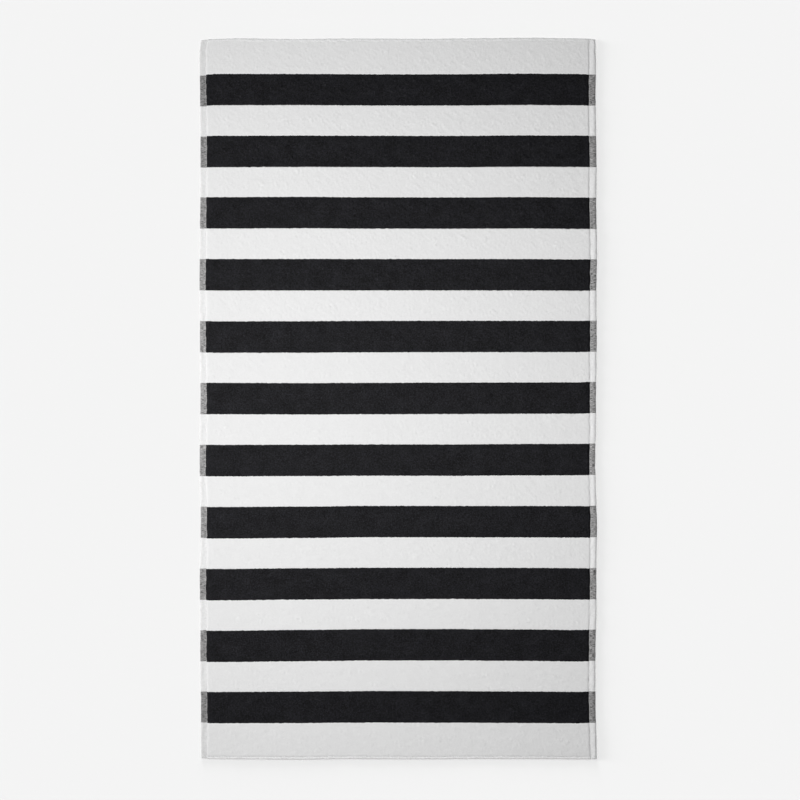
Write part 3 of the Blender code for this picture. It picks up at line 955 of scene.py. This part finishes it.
def hem_material(name):
    """The cloth's weave: white, black under the pile, and marl where a hem crosses a stripe."""
    material, tree, shader = new_material(name)
    place = places_on(tree, CLOTH_MAP)
    x, y, _ = add_node(tree, "SeparateXYZ", {"Vector": place}).outputs
    on_left = math_node(tree, "LESS_THAN", x, 0.0)
    on_right = math_node(tree, "GREATER_THAN", x, 0.0)
    # Black within half a band of each stripe's middle
    turns = math_node(tree, "FRACT", plus_times(tree, 0.5, y, 1.0 / PITCH))
    from_middle = magnitude(tree, math_node(tree, "SUBTRACT", turns, 0.5))
    in_band = math_node(tree, "LESS_THAN", from_middle, (BLACK_BAND / 2 + BLACK_LEAN) / PITCH)
    in_stripes = math_node(tree, "LESS_THAN", magnitude(tree, y), STRIPED / 2 + BLACK_LEAN)
    striped = times(tree, in_band, in_stripes)
    in_hem = math_node(tree, "GREATER_THAN", magnitude(tree, x), WIDTH / 2 - MARL_WIDTH)
    picks = noise(tree, place, 330.0, rough=0.6, stretch=(0.38, 2.6, 1.0))
    patches = noise(tree, place, 150.0, detail=1.0)
    weave = noise(tree, place, 700.0, stretch=(0.6, 1.4, 1.0))
    clouds = noise(tree, place, 40.0)
    from_centre = math_node(tree, "POWER", magnitude(tree, y), 2.0)
    marl = marl_colour(tree, picks, patches, on_right, from_centre)
    # The right side hem is evenly greyer than the end ones; the left one is darkened near its ends
    # by painted shade.
    left_painted_shade = times(tree, math_node(tree, "POWER", from_centre, 2.0), LEFT_HEM_PAINTED_SHADE)
    side_grey_and_shade = plus_times(tree, times(tree, on_right, RIGHT_HEM_GREY), on_left, left_painted_shade)
    hem_fade = math_node(tree, "SUBTRACT", 1.0, times(tree, in_hem, side_grey_and_shade))
    # The narrow end hems pucker more closely than the side ones, the bottom one most; besides the
    # bump, their shade is painted into the colour.
    in_end = math_node(tree, "GREATER_THAN", magnitude(tree, y), LENGTH / 2 - CLOSE_WIDTH)
    close = noise(tree, place, 280.0, detail=1.0)
    at_bottom = math_node(tree, "LESS_THAN", y, 0.0)
    close_painted_shade = times(tree, in_end, plus_times(tree, CLOSE_SHADE, at_bottom, CLOSE_SHADE_BOTTOM))
    # The white weave's tone: streaks along the picks, partly the yarn's own and partly painted
    # shade between them, random patches and clouds, and the puckers' painted shade
    parts = ((picks, 0.28), (weave, 0.06), (patches, 0.14), (clouds, 0.04), (close, close_painted_shade))
    white_tone = times(tree, varied(tree, WHITE_WEAVE, *parts), hem_fade)
    dark = mix_colours(tree, in_hem, grey(tree, BLACK_COTTON, BLACK_TINT), marl)
    colour = mix_colours(tree, striped, grey(tree, white_tone, WHITE_TINT), dark)
    inputs = {
        "Base Color": colour,
        "Roughness": varied(tree, 0.88, (weave, 0.12)),
        "Normal": weave_relief(tree, place, weave, times(tree, in_end, close)),
        "Sheen Weight": 0.05,
        "Specular IOR Level": 0.25,
    }
    set_inputs(tree, shader, inputs)
    return material


def thread_material(name):
    """Sewing thread with its twist."""
    material, tree, shader = new_material(name)
    place = places_on(tree, THREAD_MAP)
    inputs = {"Vector": place, "Scale": 900.0, "Distortion": 0.5}
    twist = add_node(tree, "TexWave", inputs, bands_direction="DIAGONAL").outputs[1]
    tone = varied(tree, THREAD_COTTON, (twist, 0.10), (noise(tree, place, 300.0), 0.06))
    inputs = {
        "Base Color": grey(tree, tone, WHITE_TINT),
        "Roughness": varied(tree, 0.70, (twist, 0.15)),
        "Normal": bump_node(tree, twist, 0.4, 0.0001),
    }
    set_inputs(tree, shader, inputs)
    return material


def make_towel():
    """The cloth and what is on it. Returns the cloth and its other pieces."""
    rng = np.random.default_rng(SEED)
    weave = hem_material("cotton_weave")
    white, black = (pile_material(*terry) for terry in TERRIES)
    thread = thread_material("sewing_thread")
    black_bands, white_bands = pile_bands()
    made = {
        "towel_cloth": (make_cloth(), weave),
        "pile_white_lower": (make_pile(white_bands[:6], WHITE_DIP, rng), white),
        "pile_white_upper": (make_pile(white_bands[6:], WHITE_DIP, rng), white),
        "pile_black_lower": (make_pile(black_bands[:6], BLACK_DIP, rng), black),
        "pile_black_upper": (make_pile(black_bands[6:], BLACK_DIP, rng), black),
        "hem_stitches_face": (make_stitches(rng, 5, 3, 1), thread),
        "hem_stitches_underside": (make_stitches(rng, 4, 2, -1), thread),
    }
    # Everything moves by the same step, so that the cloth's box lies over the part's.
    cloth_points = made["towel_cloth"][0][0]
    box_middle = (cloth_points.min(axis=0) + cloth_points.max(axis=0)) / 2
    target = (np.array(cad_low) + np.array(cad_high)) / 2
    step = np.append((target - box_middle)[:2], 0.0)
    pieces = [
        make_piece(name, points + step, faces, maps, loop_shading, material)
        for name, ((points, faces, maps, loop_shading), material) in made.items()
    ]
    return pieces[0], pieces[1:]


# Picture: 2 m across, straight down
PICTURE_WIDTH = 2.000
CAMERA_X, CAMERA_Y = 0.00426, -0.00325
LENS, SENSOR = 100.0, 36.0


def make_camera():
    data = bpy.data.cameras.new("camera")
    data.lens, data.sensor_width = LENS, SENSOR
    data.clip_end = 100.0
    camera = add_object("camera", data)
    camera.location = (CAMERA_X, CAMERA_Y, PICTURE_WIDTH * LENS / SENSOR)
    bpy.context.scene.camera = camera


FLOOR_TONE = 0.30
FLOOR_HALF = 60.0
FLOOR_DROP = 0.0002
BACKDROP = 0.913
WORLD_FILL = 0.05

# Light on the towel, in watts, and on the floor, in watts per square metre
KEY_POWER, TOP_POWER = 505.0, 18.9
FLOOR_TOP, FLOOR_LEFT, FLOOR_BACK = 7.50, 11.7, 9.3
LOW_SUN = 5.0  # degrees above the floor
LOW_SUN_SIZE = 9.4  # degrees


def make_floor():
    material, tree, shader = new_material("floor")
    colour = (FLOOR_TONE, FLOOR_TONE, FLOOR_TONE, 1.0)
    set_inputs(tree, shader, {"Base Color": colour, "Roughness": 1.0, "Specular IOR Level": 0.0})
    mesh = bpy.data.meshes.new("floor")
    corners = ((-1, -1), (1, -1), (1, 1), (-1, 1))
    mesh.from_pydata([(x * FLOOR_HALF, y * FLOOR_HALF, 0) for x, y in corners], [], [(0, 1, 2, 3)])
    mesh.materials.append(material)
    floor = add_object("floor", mesh)
    floor.location.z = -FLOOR_DROP
    return floor


def add_light(name, kind, energy, location, target, lit, **settings):
    """A light that only lights the objects of one collection."""
    data = bpy.data.lights.new(name, kind)
    data.energy = energy
    for key, value in settings.items():
        setattr(data, key, value)
    light = add_object(name, data)
    light.location = location
    direction = Vector(target) - light.location
    light.rotation_euler = direction.to_track_quat("-Z", "Y").to_euler()
    light.visible_camera = False
    light.light_linking.receiver_collection = lit


def from_above(azimuth, elevation):
    """A point 10 m away, at those angles from +X and above the floor, in degrees."""
    a, e = math.radians(azimuth), math.radians(elevation)
    level = 10.0 * math.cos(e)
    return level * math.cos(a), level * math.sin(a), 10.0 * math.sin(e)


def make_lights(towel_pieces, floor):
    on_towel = bpy.data.collections.new("lit towel")
    for piece in towel_pieces:
        on_towel.objects.link(piece)
    on_floor = bpy.data.collections.new("lit floor")
    on_floor.objects.link(floor)
    centre = (0.0, 0.0, 0.0)
    key_beam = {"spot_size": math.radians(60), "spot_blend": 1.0, "shadow_soft_size": 0.35}
    add_light("key", "SPOT", KEY_POWER, (-3.2, 0.05, 3.2), (0.3, 0.0, 0.0), on_towel, **key_beam)
    add_light("top", "AREA", TOP_POWER, (0.0, 0.0, 2.0), centre, on_towel, size=1.0)
    add_light("floor_top", "SUN", FLOOR_TOP, (0, 0, 5), centre, on_floor, angle=math.radians(40))
    for name, power, azimuth in (("floor_left", FLOOR_LEFT, 172), ("floor_back", FLOOR_BACK, 100)):
        place = from_above(azimuth, LOW_SUN)
        add_light(name, "SUN", power, place, centre, on_floor, angle=math.radians(LOW_SUN_SIZE))


def make_world():
    """A soft fill, and a plain pale backdrop for the camera."""
    world = bpy.data.worlds.new("world")
    bpy.context.scene.world = world
    world.use_nodes = True
    tree = world.node_tree
    fill = tree.nodes["Background"]
    white = (1.0, 1.0, 1.0, 1.0)
    set_inputs(tree, fill, {"Color": white, "Strength": WORLD_FILL})
    seen = add_node(tree, "Background", {"Color": white, "Strength": BACKDROP})
    to_camera = add_node(tree, "LightPath", {}).outputs["Is Camera Ray"]
    inputs = {0: to_camera, 1: fill.outputs[0], 2: seen.outputs[0]}
    mix = add_node(tree, "MixShader", inputs).outputs[0]
    set_inputs(tree, tree.nodes["World Output"], {"Surface": mix})


cloth, other_pieces = make_towel()
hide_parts("towel")
for piece in [cloth, *other_pieces]:
    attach(piece, "root")
floor = make_floor()
make_camera()
make_lights([cloth, *other_pieces], floor)
make_world()
bpy.context.scene.view_settings.view_transform = "Standard"
